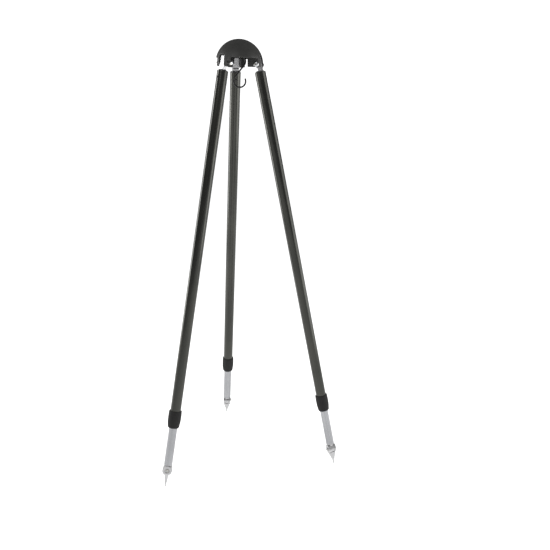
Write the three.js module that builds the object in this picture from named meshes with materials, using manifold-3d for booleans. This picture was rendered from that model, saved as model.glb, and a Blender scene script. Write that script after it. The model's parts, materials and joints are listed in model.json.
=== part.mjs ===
// Suspension tripod: a domed three-lobed head with a swivelling S-hook under it and three round
// telescopic legs, each with a twist-lock collar, a fluted lower tube and a tilting spiked shoe.
// Millimetres, +Z up. The floor is z = 0 and the origin is the middle of the footprint's box.

import * as THREE from 'three';
import { mergeVertices } from 'three/addons/utils/BufferGeometryUtils.js';
import Module from 'manifold-3d';

const wasm = await Module();
wasm.setup();

// ---------------------------------------------------------------- driving dimensions

// Stance: each leg's axis runs from its pivot down and out to its spike's tip.
const FOOT_CIRCLE = 284.5;
const HINGE_CIRCLE = 53.5;
const HINGE_HEIGHT = 1134;
const SPLAY = Math.atan2(FOOT_CIRCLE - HINGE_CIRCLE, HINGE_HEIGHT);
const LEG_LENGTH = Math.hypot(FOOT_CIRCLE - HINGE_CIRCLE, HINGE_HEIGHT);
const LEG_AZIMUTHS = [90, 210, 330];

// Clearances: GAP between fitted pieces, RUN on the radius of a piece that turns or slides, SLIP on
// the radius of a piece inside the upper tube.
const GAP = 0.3;
const RUN = 0.3;
const SLIP = 0.4;

// Facets round a tube, and round a small or hidden piece.
const SIDES = 16;
const SMALL_SIDES = 12;

// Head: a hollow half ball with three slotted lobes, each with one cheek that runs deeper than the
// other. Heights are above the ball's centre.
const BALL_CENTRE = HINGE_HEIGHT + 1.5;
const BALL_RADIUS = 63;
const SHELL_WALL = 4;
const ARCH_HEIGHT = 14;
const LOBE_BOTTOM = -8.5;
const LOBE_TOP = 29;
const LOBE_HALF_WIDTH = 20.5;
const LOBE_INNER_END = 47;
const DEEP_CHEEK_INNER_END = 29;
const SLOT_HALF_WIDTH = 9.5;
const SLOT_INNER_END = 39.7;
const SLOT_ROOF = 21;
const BALL_SIDES = 36;
const BALL_STEPS = 8;

// Leg pivot: an M8 button-head bolt through the lobe, along the tangent.
const BOLT_RADIUS = 4;
const BOLT_HEAD_RADIUS = 7;
const BOLT_HEAD_HEIGHT = 4.4;
const BOLT_END = 31.5;
const SOCKET_RADIUS = 2.9;
const WASHER_RADIUS = 7;
const WASHER_THICKNESS = 1.2;
const NUT_RADIUS = 6.6;
const NUT_HEIGHT = 5.5;

// Leg plug: a tongue in the head's slot, a neck under it, and a cap and spigot in the tube's end.
const TONGUE_HALF_WIDTH = SLOT_HALF_WIDTH - RUN;
const TONGUE_INNER = -6.5;
const TONGUE_OUTER = 6.5;
const TONGUE_TOP = 22;
const TONGUE_CORNER = 4;
const NECK_INNER = -2.5;
const NECK_TOP = -6.5;
const CAP_RADIUS = 11.5;
const CAP_TOP = -16.5;
const CAP_CHAMFER = 1.5;
const SPIGOT_LEAD = 2;
const BUSH_RADIUS = 5.1;
const SPIGOT_END = -56;
const PLUG_PIN_HEIGHT = -38;
const PLUG_PIN_RADIUS = 2;

// Tubes. Heights along a leg are negative, measured from its pivot.
const UPPER_RADIUS = 14.5;
const UPPER_BORE = 13.5;
const UPPER_TOP = -19;
const UPPER_END = -949.7;
const LOWER_RADIUS = 11.8;
const LOWER_BORE = 10.4;
const LOWER_TOP = -205;
const LOWER_END = -1092.5;
const FLUTES = 6;
const FLUTE_DEPTH = 0.8;
const FLUTE_HALF_ANGLE = THREE.MathUtils.degToRad(8);

// Twist lock: a seat on the upper tube's end, a split collet under it and the collar round both.
const COLLAR_TOP = -938;
const COLLAR_END = -986;
const COLLAR_RADIUS = 17.5;
const COLLAR_MOUTH_RADIUS = 14.2;
const COLLAR_LIP_RADIUS = 15.8;
const COLLAR_CONE_RADIUS = 16.7;
const COLLAR_TOP_RADIUS = 16.1;
const COLLAR_LIP = 2.5;
const COLLAR_CONE = 10;
const COLLAR_SHOULDER = 22;
const COLLAR_BAND = 4;
const CHAMBER_RADIUS = 15.9;
const CHAMBER_TOP = -949.4;
const CHAMBER_END = -980;
const SEAT_TOP = -925;
const SEAT_FLANGE_RADIUS = 15.6;
const SEAT_FLANGE_END = -956;
const SEAT_NECK_RADIUS = 14;
const SEAT_END = -962;
const COLLET_TOP_RADIUS = 15.2;
const COLLET_END_RADIUS = 13.8;
const COLLET_END = -979;
const COLLET_SLIT = 3;

// Guide bush on the lower tube's top end.
const GUIDE_TOP = -190;
const GUIDE_END = -225;
const GUIDE_BORE = 7;

// Foot: an eye on the lower tube's end, and a forked shoe that tilts on a bolt through it.
const ANKLE = -1107.8;
const EYE_RADIUS = 12.4;
const EYE_HALF_WIDTH = 4.7;
const EYE_SPIGOT_TOP = -1067;
const EYE_FLANGE_RADIUS = 11.6;
const EYE_FLANGE_END = -1093.9;
const EYE_NECK_HALF = 8.5;
const SHOE_RADIUS = 13.4;
const SHOE_HALF_WIDTH = 11.6;
const FORK_RADIUS = SHOE_RADIUS + 0.2;
const CHEEK_END_HALF = 0.8 * SHOE_RADIUS;
const CHEEK_END = ANKLE - 0.6 * SHOE_RADIUS;
const BLADE_TOP = ANKLE - 9;
const BLADE_WAIST = ANKLE - 13;
const BLADE_WAIST_HALF = 5.5;
const BLADE_END = ANKLE - 34.2;
const BLADE_END_HALF = 3.7;
const FOOT_BOLT_RADIUS = 3;
const FOOT_HEAD_RADIUS = 5;
const FOOT_HEAD_HEIGHT = 3.4;
const FOOT_SOCKET_RADIUS = 3;
const FOOT_SOCKET_DEPTH = 2;
const FOOT_BOLT_END = 11.3;
const FOOT_NUT_RADIUS = 5.8;
const FOOT_NUT_HEIGHT = 3.6;
const FOOT_POCKET_RADIUS = 6.2;
const FOOT_POCKET_FLOOR = 6.6;
const SPIKE_SHANK_RADIUS = 2.4;
const SPIKE_SHANK_TOP = ANKLE - 24;
const SPIKE_RADIUS = 3.2;
const SPIKE_TIP_RADIUS = 1.5;

// How far each lower tube happens to be turned in its lock, in degrees.
const LOWER_TURNS = [-11, -41, -51];

// Hanging gear: a swivel eye through the crown and an S-hook of round wire in it.
const EYE_RING_RADIUS = 9;
const EYE_WIRE_RADIUS = 2.5;
const EYE_RING_BOTTOM = 18;
const EYE_SHANK_RADIUS = 4;
const EYE_COLLAR_RADIUS = 7;
const EYE_COLLAR_HEIGHT = 2;
const BOSS_RADIUS = 12;
const BOSS_END = 41;
const BOSS_TOP = BALL_RADIUS - SHELL_WALL + 1;
const CROWN_POCKET_RADIUS = 9.5;
const CROWN_POCKET_FLOOR = 46;
const EYE_SHANK_END = 56;
const EYE_NUT_RADIUS = 7.5;
const EYE_NUT_HEIGHT = 8;
const CROWN_CAP_BOTTOM = 57.2;
const HOOK_TURN = -11;
const HOOK_WIRE_RADIUS = 2.2;
const HOOK_BOWL_RADIUS = 16;
const HOOK_BOWL_SPACING = 52;
const HOOK_TIP_ANGLE = THREE.MathUtils.degToRad(20);

// ---------------------------------------------------------------- materials

const finish = (color, roughness, metalness) =>
  new THREE.MeshStandardMaterial({ color, roughness, metalness });
const blackMoulding = () => finish(0x31312f, 0.55, 0.1);
const blackRubber = () => finish(0x161616, 0.8, 0);
const blackSteel = () => finish(0x181818, 0.45, 0.6);
const darkAnodised = () => finish(0x3b3c39, 0.35, 0.8);
const clearAnodised = () => finish(0xc4c6cc, 0.35, 0.9);
const castAlloy = () => finish(0xb4b5b6, 0.45, 0.9);
const zincSteel = () => finish(0xb9bab8, 0.3, 1);
const spikeSteel = () => finish(0x8d8e8f, 0.4, 1);
const nylon = () => finish(0xd8d4c8, 0.6, 0);

// ---------------------------------------------------------------- solids

// A closed three.js geometry as a solid.
function solid(geometry) {
  const bare = geometry.clone();
  bare.deleteAttribute('normal');
  bare.deleteAttribute('uv');
  const merged = mergeVertices(bare, 1e-4);
  const index = merged.index.array;
  const triVerts = [];
  for (let i = 0; i < index.length; i += 3) {
    const [a, b, c] = [index[i], index[i + 1], index[i + 2]];
    if (a !== b && b !== c && c !== a) triVerts.push(a, b, c);
  }
  return new wasm.Manifold(new wasm.Mesh({
    numProp: 3,
    vertProperties: new Float32Array(merged.attributes.position.array),
    triVerts: new Uint32Array(triVerts),
  }));
}

// A solid as a three.js geometry.
function surface(body) {
  const mesh = body.getMesh();
  const geometry = new THREE.BufferGeometry();
  geometry.setAttribute('position', new THREE.BufferAttribute(mesh.vertProperties, 3));
  geometry.setIndex(new THREE.BufferAttribute(mesh.triVerts, 1));
  return geometry;
}

// A turned piece about Z. The (radius, height) profile runs counter-clockwise, up its outside.
function turned(profile, sides = SIDES) {
  const points = profile.map(([radius, height]) => new THREE.Vector2(radius, height));
  return solid(new THREE.LatheGeometry(points, sides).rotateX(Math.PI / 2));
}

// A turned ring, whose profile closes on itself.
const ring = (profile, sides = SIDES) => turned([...profile, profile[0]], sides);

// A plain pin about Y between two places on it.
function crossPin(radius, from, to, height = 0, sides = SMALL_SIDES) {
  const pin = new THREE.CylinderGeometry(radius, radius, to - from, sides);
  return solid(pin.translate(0, (from + to) / 2, height));
}

// A ring about Y between two places on it.
function crossRing(radius, bore, from, to) {
  const profile = [[bore, from], [radius, from], [radius, to], [bore, to], [bore, from]];
  const points = profile.map(([r, y]) => new THREE.Vector2(r, y));
  return solid(new THREE.LatheGeometry(points, SMALL_SIDES));
}

// A hexagonal nut about Y.
function crossNut(radius, bore, from, to, height = 0) {
  const hexagon = new THREE.CylinderGeometry(radius, radius, to - from, 6);
  const body = solid(hexagon.translate(0, (from + to) / 2, height));
  return body.subtract(crossPin(bore, from - 1, to + 1, height));
}

function block([x0, x1], [y0, y1], [z0, z1]) {
  const box = new THREE.BoxGeometry(x1 - x0, y1 - y0, z1 - z0);
  return solid(box.translate((x0 + x1) / 2, (y0 + y1) / 2, (z0 + z1) / 2));
}

// An outline in X and Z, made into a plate that reaches halfWidth to each side along Y.
function plate(shape, halfWidth, curveSegments = 6) {
  const options = { depth: 2 * halfWidth, bevelEnabled: false, curveSegments };
  const geometry = new THREE.ExtrudeGeometry(shape, options);
  return solid(geometry.rotateX(Math.PI / 2).translate(0, halfWidth, 0));
}

// The radius whose facets stay outside a true circle, for bores.
const bore = (radius, sides = SMALL_SIDES) => radius / Math.cos(Math.PI / sides);

function add(group, name, material, body) {
  const mesh = new THREE.Mesh(surface(body), material);
  mesh.name = name;
  group.add(mesh);
}

// ---------------------------------------------------------------- head

// The head's own frame has its origin at the ball's centre.
const PIVOT_IN_HEAD = HINGE_HEIGHT - BALL_CENTRE;

const turnedTo = (body, azimuth) => body.rotate([0, 0, azimuth]);

// A half ball that goes on down as a short cylinder.
function dome(radius, bottom) {
  const profile = [[0, bottom], [radius, bottom]];
  for (let i = 0; i < BALL_STEPS; i += 1) {
    const angle = (i / BALL_STEPS) * Math.PI / 2;
    profile.push([radius * Math.cos(angle), radius * Math.sin(angle)]);
  }
  profile.push([0, radius]);
  return turned(profile, BALL_SIDES);
}

function headDome() {
  const below = LOBE_BOTTOM - 1;
  const reach = BALL_RADIUS + 5;
  let hollow = dome(BALL_RADIUS - SHELL_WALL, below);
  hollow = hollow.add(turned([[0, below], [reach, below], [reach, ARCH_HEIGHT], [0, ARCH_HEIGHT]]));
  for (const azimuth of LEG_AZIMUTHS) {
    const lobe = block(
      [LOBE_INNER_END, reach + 1],
      [-LOBE_HALF_WIDTH, LOBE_HALF_WIDTH],
      [below - 1, LOBE_TOP],
    );
    const deepCheek = block(
      [DEEP_CHEEK_INNER_END, reach + 1],
      [-LOBE_HALF_WIDTH, -SLOT_HALF_WIDTH],
      [below - 1, LOBE_TOP],
    );
    hollow = hollow.subtract(turnedTo(lobe.add(deepCheek), azimuth));
  }
  let head = dome(BALL_RADIUS, LOBE_BOTTOM).subtract(hollow);
  const boss = turned([
    [0, BOSS_END],
    [BOSS_RADIUS, BOSS_END],
    [BOSS_RADIUS, BOSS_TOP],
    [0, BOSS_TOP],
  ]);
  const pocket = [[0, CROWN_POCKET_FLOOR], [CROWN_POCKET_RADIUS, CROWN_POCKET_FLOOR]];
  const shankBore = bore(EYE_SHANK_RADIUS + RUN);
  head = head.add(boss);
  head = head.subtract(turned([...pocket, [CROWN_POCKET_RADIUS, reach], [0, reach]]));
  head = head.subtract(turned([[0, below], [shankBore, below], [shankBore, reach], [0, reach]]));
  for (const azimuth of LEG_AZIMUTHS) {
    const slot = block(
      [SLOT_INNER_END, reach + 1],
      [-SLOT_HALF_WIDTH, SLOT_HALF_WIDTH],
      [below, SLOT_ROOF],
    );
    const hole = crossPin(bore(BOLT_RADIUS + GAP), -reach, reach, PIVOT_IN_HEAD)
      .translate([HINGE_CIRCLE, 0, 0]);
    head = head.subtract(turnedTo(slot.add(hole), azimuth));
  }
  return head;
}

function crownCap() {
  const disc = turned([
    [0, CROWN_CAP_BOTTOM],
    [CROWN_POCKET_RADIUS - GAP, CROWN_CAP_BOTTOM],
    [CROWN_POCKET_RADIUS - GAP, BALL_RADIUS + 1],
    [0, BALL_RADIUS + 1],
  ]);
  return disc.intersect(dome(BALL_RADIUS, 0));
}

function pivotBolt() {
  const under = -LOBE_HALF_WIDTH - GAP;
  const top = under - BOLT_HEAD_HEIGHT;
  const profile = [
    [0, top],
    [0.55 * BOLT_HEAD_RADIUS, top],
    [0.87 * BOLT_HEAD_RADIUS, top + 0.35 * BOLT_HEAD_HEIGHT],
    [BOLT_HEAD_RADIUS, under - 0.2 * BOLT_HEAD_HEIGHT],
    [BOLT_HEAD_RADIUS, under],
    [BOLT_RADIUS, under],
    [BOLT_RADIUS, BOLT_END - 1],
    [BOLT_RADIUS - 1, BOLT_END],
    [0, BOLT_END],
  ];
  const points = profile.map(([radius, y]) => new THREE.Vector2(radius, y));
  const body = solid(new THREE.LatheGeometry(points, SMALL_SIDES));
  const socket = crossPin(SOCKET_RADIUS, top - 1, top + 0.7 * BOLT_HEAD_HEIGHT, 0, 6);
  return body.subtract(socket);
}

function swivelEye() {
  const ringCentre = EYE_RING_BOTTOM + EYE_RING_RADIUS;
  const torus = new THREE.TorusGeometry(EYE_RING_RADIUS, EYE_WIRE_RADIUS, 8, 18);
  const eye = solid(torus.translate(0, ringCentre, 0).rotateX(Math.PI / 2)
    .rotateZ(THREE.MathUtils.degToRad(HOOK_TURN + 90)));
  const collarTop = BOSS_END - RUN;
  const shank = turned([
    [0, ringCentre + EYE_RING_RADIUS],
    [EYE_SHANK_RADIUS, ringCentre + EYE_RING_RADIUS],
    [EYE_COLLAR_RADIUS, collarTop - EYE_COLLAR_HEIGHT],
    [EYE_COLLAR_RADIUS, collarTop],
    [EYE_SHANK_RADIUS, collarTop],
    [EYE_SHANK_RADIUS, EYE_SHANK_END],
    [0, EYE_SHANK_END],
  ], SMALL_SIDES);
  return eye.add(shank);
}

function swivelNut() {
  const from = CROWN_POCKET_FLOOR + RUN;
  const to = from + EYE_NUT_HEIGHT;
  const hexagon = new THREE.CylinderGeometry(EYE_NUT_RADIUS, EYE_NUT_RADIUS, EYE_NUT_HEIGHT, 6);
  const body = solid(hexagon.rotateX(Math.PI / 2).translate(0, 0, (from + to) / 2));
  const hole = bore(EYE_SHANK_RADIUS + GAP);
  return body.subtract(turned([[0, from - 1], [hole, from - 1], [hole, to + 1], [0, to + 1]]));
}

// The S-hook's centre line: two bowls, one over the other, and the straight tangent between them.
class HookLine extends THREE.Curve {
  getPoint(t) {
    const r = HOOK_BOWL_RADIUS;
    const half = HOOK_BOWL_SPACING / 2;
    const leave = Math.acos(r / half) - Math.PI / 2;
    const sweep = Math.PI + HOOK_TIP_ANGLE - leave;
    const straight = 2 * Math.hypot(r * Math.cos(leave), half + r * Math.sin(leave));
    const total = 2 * r * sweep + straight;
    const along = Math.abs(t - 0.5) * total;
    const side = t < 0.5 ? 1 : -1;
    let x = along * Math.sin(-leave);
    let z = along * Math.cos(leave);
    if (along > straight / 2) {
      const angle = leave + (along - straight / 2) / r;
      x = r * Math.cos(angle);
      z = half + r * Math.sin(angle);
    }
    return new THREE.Vector3(side * x, 0, side * z);
  }
}

function sHook() {
  const section = new THREE.Shape().absarc(0, 0, HOOK_WIRE_RADIUS, 0, 2 * Math.PI);
  const options = { steps: 40, curveSegments: 3, extrudePath: new HookLine() };
  const wire = new THREE.ExtrudeGeometry(section, options);
  const restOnEye = EYE_RING_BOTTOM + EYE_WIRE_RADIUS + HOOK_WIRE_RADIUS + GAP;
  const centre = restOnEye - HOOK_BOWL_RADIUS - HOOK_BOWL_SPACING / 2;
  return solid(wire.translate(0, 0, centre).rotateZ(THREE.MathUtils.degToRad(HOOK_TURN)));
}

function makeHead() {
  const head = new THREE.Group();
  head.position.z = BALL_CENTRE;
  add(head, 'head_dome', blackMoulding(), headDome());
  add(head, 'crown_cap', blackRubber(), crownCap());
  add(head, 'swivel_eye', zincSteel(), swivelEye());
  add(head, 'swivel_nut', zincSteel(), swivelNut());
  add(head, 's_hook', blackSteel(), sHook());
  return head;
}

// The bolt, washer and nut of one leg's pivot, in the pivot's own frame.
function makePivot(number) {
  const pivot = new THREE.Group();
  const washerFrom = LOBE_HALF_WIDTH + GAP;
  const nutFrom = washerFrom + WASHER_THICKNESS + GAP;
  const clear = bore(BOLT_RADIUS + GAP);
  const washer = crossRing(WASHER_RADIUS, clear, washerFrom, washerFrom + WASHER_THICKNESS);
  add(pivot, `pivot_bolt_${number}`, zincSteel(), pivotBolt());
  add(pivot, `pivot_washer_${number}`, blackSteel(), washer);
  add(pivot, `pivot_nut_${number}`, blackSteel(),
    crossNut(NUT_RADIUS, clear, nutFrom, nutFrom + NUT_HEIGHT));
  return pivot;
}

// ---------------------------------------------------------------- leg

// A leg's own frame has its origin at its pivot, Z up along the leg and X away from the tripod.

function legPlug() {
  const spigot = UPPER_BORE - SLIP;
  const body = turned([
    [0, SPIGOT_END],
    [spigot - SPIGOT_LEAD / 2, SPIGOT_END],
    [spigot, SPIGOT_END + SPIGOT_LEAD],
    [spigot, UPPER_TOP],
    [CAP_RADIUS, UPPER_TOP],
    [CAP_RADIUS, CAP_TOP - CAP_CHAMFER],
    [CAP_RADIUS - CAP_CHAMFER, CAP_TOP],
    [0, CAP_TOP],
  ]);
  const outline = new THREE.Shape();
  outline.moveTo(NECK_INNER, CAP_TOP - 1);
  outline.lineTo(TONGUE_OUTER, CAP_TOP - 1);
  outline.lineTo(TONGUE_OUTER, TONGUE_TOP - TONGUE_CORNER);
  const cornerHeight = TONGUE_TOP - TONGUE_CORNER;
  const quarter = Math.PI / 2;
  outline.absarc(TONGUE_OUTER - TONGUE_CORNER, cornerHeight, TONGUE_CORNER, 0, quarter);
  outline.absarc(TONGUE_INNER + TONGUE_CORNER, cornerHeight, TONGUE_CORNER, quarter, 2 * quarter);
  outline.lineTo(TONGUE_INNER, NECK_TOP);
  outline.lineTo(NECK_INNER, NECK_TOP + TONGUE_INNER - NECK_INNER);
  const tongue = plate(outline, TONGUE_HALF_WIDTH, 4);
  const pinHole = radialPin(PLUG_PIN_RADIUS + GAP, UPPER_RADIUS + 1);
  const pivotHole = crossPin(bore(BUSH_RADIUS + GAP), -TONGUE_HALF_WIDTH - 1, TONGUE_HALF_WIDTH + 1);
  return body.add(tongue).subtract(pivotHole).subtract(pinHole);
}

// A pin straight through the tube, along X.
function radialPin(radius, halfLength) {
  const pin = new THREE.CylinderGeometry(radius, radius, 2 * halfLength, SMALL_SIDES);
  return solid(pin.rotateZ(Math.PI / 2).translate(0, 0, PLUG_PIN_HEIGHT));
}

function upperTube() {
  const inner = bore(UPPER_BORE, SIDES);
  const wall = ring([
    [inner, UPPER_END],
    [UPPER_RADIUS, UPPER_END],
    [UPPER_RADIUS, UPPER_TOP],
    [inner, UPPER_TOP],
  ]);
  return wall.subtract(radialPin(PLUG_PIN_RADIUS + GAP, UPPER_RADIUS + 1));
}

function collarSeat() {
  const inner = bore(LOWER_RADIUS + RUN);
  const neck = UPPER_BORE - GAP;
  return ring([
    [inner, SEAT_END],
    [SEAT_NECK_RADIUS, SEAT_END],
    [SEAT_NECK_RADIUS, SEAT_FLANGE_END],
    [SEAT_FLANGE_RADIUS, SEAT_FLANGE_END],
    [SEAT_FLANGE_RADIUS, UPPER_END - GAP],
    [neck, UPPER_END - GAP],
    [neck, SEAT_TOP],
    [inner, SEAT_TOP],
  ], SMALL_SIDES);
}

function clampCollet() {
  const inner = bore(LOWER_RADIUS + RUN);
  const cone = ring([
    [inner, COLLET_END],
    [COLLET_END_RADIUS, COLLET_END],
    [COLLET_TOP_RADIUS, SEAT_END - GAP],
    [inner, SEAT_END - GAP],
  ], SMALL_SIDES);
  const slit = block(
    [0, CHAMBER_RADIUS],
    [-COLLET_SLIT / 2, COLLET_SLIT / 2],
    [COLLET_END - 1, SEAT_END + 1],
  );
  return cone.subtract(slit);
}

function lockCollar() {
  const tubeBore = bore(UPPER_RADIUS + RUN, SIDES);
  const mouthBore = bore(LOWER_RADIUS + RUN, SIDES);
  const coneEnd = bore(COLLET_END_RADIUS + 2 * RUN, SIDES);
  const chamber = bore(CHAMBER_RADIUS, SIDES);
  return ring([
    [mouthBore, COLLAR_END],
    [COLLAR_MOUTH_RADIUS, COLLAR_END],
    [COLLAR_LIP_RADIUS, COLLAR_END + COLLAR_LIP],
    [COLLAR_CONE_RADIUS, COLLAR_END + COLLAR_CONE],
    [COLLAR_RADIUS, COLLAR_END + COLLAR_SHOULDER],
    [COLLAR_RADIUS, COLLAR_TOP - COLLAR_BAND],
    [COLLAR_TOP_RADIUS, COLLAR_TOP],
    [tubeBore, COLLAR_TOP],
    [tubeBore, CHAMBER_TOP],
    [chamber, CHAMBER_TOP],
    [chamber, SEAT_END],
    [coneEnd, CHAMBER_END],
    [mouthBore, CHAMBER_END],
  ]);
}

function guideBush() {
  const shank = LOWER_BORE - RUN;
  const head = UPPER_BORE - SLIP;
  return ring([
    [GUIDE_BORE, GUIDE_END],
    [shank, GUIDE_END],
    [shank, LOWER_TOP + GAP],
    [head, LOWER_TOP + GAP],
    [head, GUIDE_TOP],
    [GUIDE_BORE, GUIDE_TOP],
  ], SMALL_SIDES);
}

function lowerTube() {
  const outline = new THREE.Shape();
  const land = 2 * Math.PI / FLUTES - 2 * FLUTE_HALF_ANGLE;
  const landSteps = 4;
  for (let flute = 0; flute < FLUTES; flute += 1) {
    const middle = flute * 2 * Math.PI / FLUTES;
    const bottom = LOWER_RADIUS - FLUTE_DEPTH;
    outline[flute ? 'lineTo' : 'moveTo'](bottom * Math.cos(middle), bottom * Math.sin(middle));
    for (let i = 0; i <= landSteps; i += 1) {
      const angle = middle + FLUTE_HALF_ANGLE + land * i / landSteps;
      outline.lineTo(LOWER_RADIUS * Math.cos(angle), LOWER_RADIUS * Math.sin(angle));
    }
  }
  outline.closePath();
  const hole = new THREE.Path();
  hole.absarc(0, 0, bore(LOWER_BORE, SIDES), 0, 2 * Math.PI, true);
  outline.holes.push(hole);
  const options = { depth: LOWER_TOP - LOWER_END, bevelEnabled: false, curveSegments: SIDES };
  return solid(new THREE.ExtrudeGeometry(outline, options).translate(0, 0, LOWER_END));
}

function tubeEndEye() {
  const body = turned([
    [0, EYE_FLANGE_END],
    [EYE_FLANGE_RADIUS, EYE_FLANGE_END],
    [EYE_FLANGE_RADIUS, LOWER_END - GAP],
    [LOWER_BORE - GAP, LOWER_END - GAP],
    [LOWER_BORE - GAP, EYE_SPIGOT_TOP],
    [0, EYE_SPIGOT_TOP],
  ]);
  const disc = crossPin(EYE_RADIUS, -EYE_HALF_WIDTH, EYE_HALF_WIDTH, ANKLE, SIDES);
  const neck = block(
    [-EYE_NECK_HALF, EYE_NECK_HALF],
    [-EYE_HALF_WIDTH, EYE_HALF_WIDTH],
    [ANKLE, EYE_FLANGE_END + 0.5],
  );
  const hole = crossPin(bore(FOOT_BOLT_RADIUS + GAP), -SHOE_HALF_WIDTH, SHOE_HALF_WIDTH, ANKLE);
  return body.add(disc).add(neck).subtract(hole);
}

// The forked shoe: round cheeks about the ankle that narrow to a flat-sided blade.
function footShoe() {
  const side = new THREE.Shape();
  side.moveTo(-BLADE_END_HALF, BLADE_END);
  side.lineTo(BLADE_END_HALF, BLADE_END);
  side.lineTo(BLADE_WAIST_HALF, BLADE_WAIST);
  side.lineTo(CHEEK_END_HALF, CHEEK_END);
  side.lineTo(-CHEEK_END_HALF, CHEEK_END);
  side.lineTo(-BLADE_WAIST_HALF, BLADE_WAIST);
  side.closePath();
  const front = new THREE.Shape();
  const top = ANKLE + SHOE_RADIUS + 1;
  front.moveTo(-BLADE_END_HALF, BLADE_END);
  front.lineTo(BLADE_END_HALF, BLADE_END);
  front.lineTo(SHOE_HALF_WIDTH, BLADE_TOP);
  front.lineTo(SHOE_HALF_WIDTH, top);
  front.lineTo(-SHOE_HALF_WIDTH, top);
  front.lineTo(-SHOE_HALF_WIDTH, BLADE_TOP);
  front.closePath();
  const cheeks = crossPin(SHOE_RADIUS, -SHOE_HALF_WIDTH, SHOE_HALF_WIDTH, ANKLE, SIDES);
  const taper = plate(front, SHOE_RADIUS + 1).rotate([0, 0, 90]);
  const fork = EYE_HALF_WIDTH + RUN;
  const round = crossPin(bore(FORK_RADIUS, SIDES), -fork, fork, ANKLE, SIDES);
  const mouth = block([-SHOE_RADIUS - 1, SHOE_RADIUS + 1], [-fork, fork], [ANKLE, top]);
  const boltHole = crossPin(bore(FOOT_BOLT_RADIUS + GAP), -SHOE_RADIUS, SHOE_RADIUS, ANKLE);
  const spikeHole = turned([
    [0, BLADE_END - 1],
    [bore(SPIKE_SHANK_RADIUS + GAP), BLADE_END - 1],
    [bore(SPIKE_SHANK_RADIUS + GAP), SPIKE_SHANK_TOP + GAP],
    [0, SPIKE_SHANK_TOP + GAP],
  ]);
  const pocket = crossPin(bore(FOOT_POCKET_RADIUS), FOOT_POCKET_FLOOR, SHOE_HALF_WIDTH + 1, ANKLE);
  return plate(side, SHOE_HALF_WIDTH).add(cheeks).intersect(taper)
    .subtract(round.add(mouth)).subtract(boltHole).subtract(pocket).subtract(spikeHole);
}

function footBolt() {
  const head = -SHOE_HALF_WIDTH - GAP;
  const body = crossPin(FOOT_BOLT_RADIUS, head - 1, FOOT_BOLT_END, ANKLE);
  const cap = crossPin(FOOT_HEAD_RADIUS, head - FOOT_HEAD_HEIGHT, head, ANKLE);
  const face = head - FOOT_HEAD_HEIGHT;
  const socket = crossPin(FOOT_SOCKET_RADIUS, face - 1, face + FOOT_SOCKET_DEPTH, ANKLE, 6);
  return body.add(cap).subtract(socket);
}

function footNut() {
  const from = FOOT_POCKET_FLOOR + GAP;
  const hole = bore(FOOT_BOLT_RADIUS + GAP);
  return crossNut(FOOT_NUT_RADIUS, hole, from, from + FOOT_NUT_HEIGHT, ANKLE);
}

// The hard spike. Its tip is ground flat, level with the floor when the leg is fully splayed.
function spikePin(turn) {
  const pin = turned([
    [0, -LEG_LENGTH - 2],
    [SPIKE_TIP_RADIUS, -LEG_LENGTH - 2],
    [SPIKE_RADIUS, BLADE_END - GAP],
    [SPIKE_SHANK_RADIUS, BLADE_END - GAP],
    [SPIKE_SHANK_RADIUS, SPIKE_SHANK_TOP],
    [0, SPIKE_SHANK_TOP],
  ], SMALL_SIDES);
  const half = 20;
  const floor = block([-half, half], [-half, half], [-half, 0])
    .rotate([0, THREE.MathUtils.radToDeg(SPLAY), 0])
    .translate([0, 0, -LEG_LENGTH])
    .rotate([0, 0, -turn]);
  return pin.subtract(floor);
}

function makeLeg(number, lowerTurn) {
  const leg = new THREE.Group();
  add(leg, `leg_plug_${number}`, castAlloy(), legPlug());
  add(leg, `pivot_bush_${number}`, nylon(),
    crossRing(BUSH_RADIUS, bore(BOLT_RADIUS + GAP), -TONGUE_HALF_WIDTH, TONGUE_HALF_WIDTH));
  add(leg, `plug_pin_${number}`, blackSteel(), radialPin(PLUG_PIN_RADIUS, UPPER_RADIUS - SLIP));
  add(leg, `upper_tube_${number}`, darkAnodised(), upperTube());
  add(leg, `collar_seat_${number}`, nylon(), collarSeat());
  add(leg, `clamp_collet_${number}`, nylon(), clampCollet());
  add(leg, `lock_collar_${number}`, blackRubber(), lockCollar());
  add(leg, `guide_bush_${number}`, nylon(), guideBush());

  const lower = new THREE.Group();
  lower.rotation.z = THREE.MathUtils.degToRad(lowerTurn);
  add(lower, `lower_tube_${number}`, clearAnodised(), lowerTube());
  add(lower, `tube_end_eye_${number}`, castAlloy(), tubeEndEye());
  add(lower, `foot_bolt_${number}`, zincSteel(), footBolt());
  add(lower, `foot_nut_${number}`, zincSteel(), footNut());
  add(lower, `foot_shoe_${number}`, castAlloy(), footShoe());
  add(lower, `foot_spike_${number}`, spikeSteel(), spikePin(lowerTurn));
  leg.add(lower);
  return leg;
}

// ---------------------------------------------------------------- assembly

function makeTripod() {
  const tripod = new THREE.Group();
  tripod.add(makeHead());
  LEG_AZIMUTHS.forEach((azimuth, i) => {
    const station = new THREE.Group();
    station.rotation.z = THREE.MathUtils.degToRad(azimuth);
    const pivot = makePivot(i + 1);
    pivot.position.set(HINGE_CIRCLE, 0, HINGE_HEIGHT);
    const leg = makeLeg(i + 1, LOWER_TURNS[i]);
    leg.position.copy(pivot.position);
    leg.rotation.y = -SPLAY;
    station.add(pivot, leg);
    tripod.add(station);
  });
  return tripod;
}

const tripod = makeTripod();
const footprint = new THREE.Box3().setFromObject(tripod, true).getCenter(new THREE.Vector3());
tripod.position.set(-footprint.x, -footprint.y, 0);

export default tripod;
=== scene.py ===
"""The looks of a suspension tripod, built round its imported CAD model, with its camera, floor and lights.

Outlines and details are in millimetres, in the frame of the piece; meshes and places are in metres.
"""

import json
import math

import bmesh
import bpy
import numpy
from mathutils import Matrix, Vector


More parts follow.
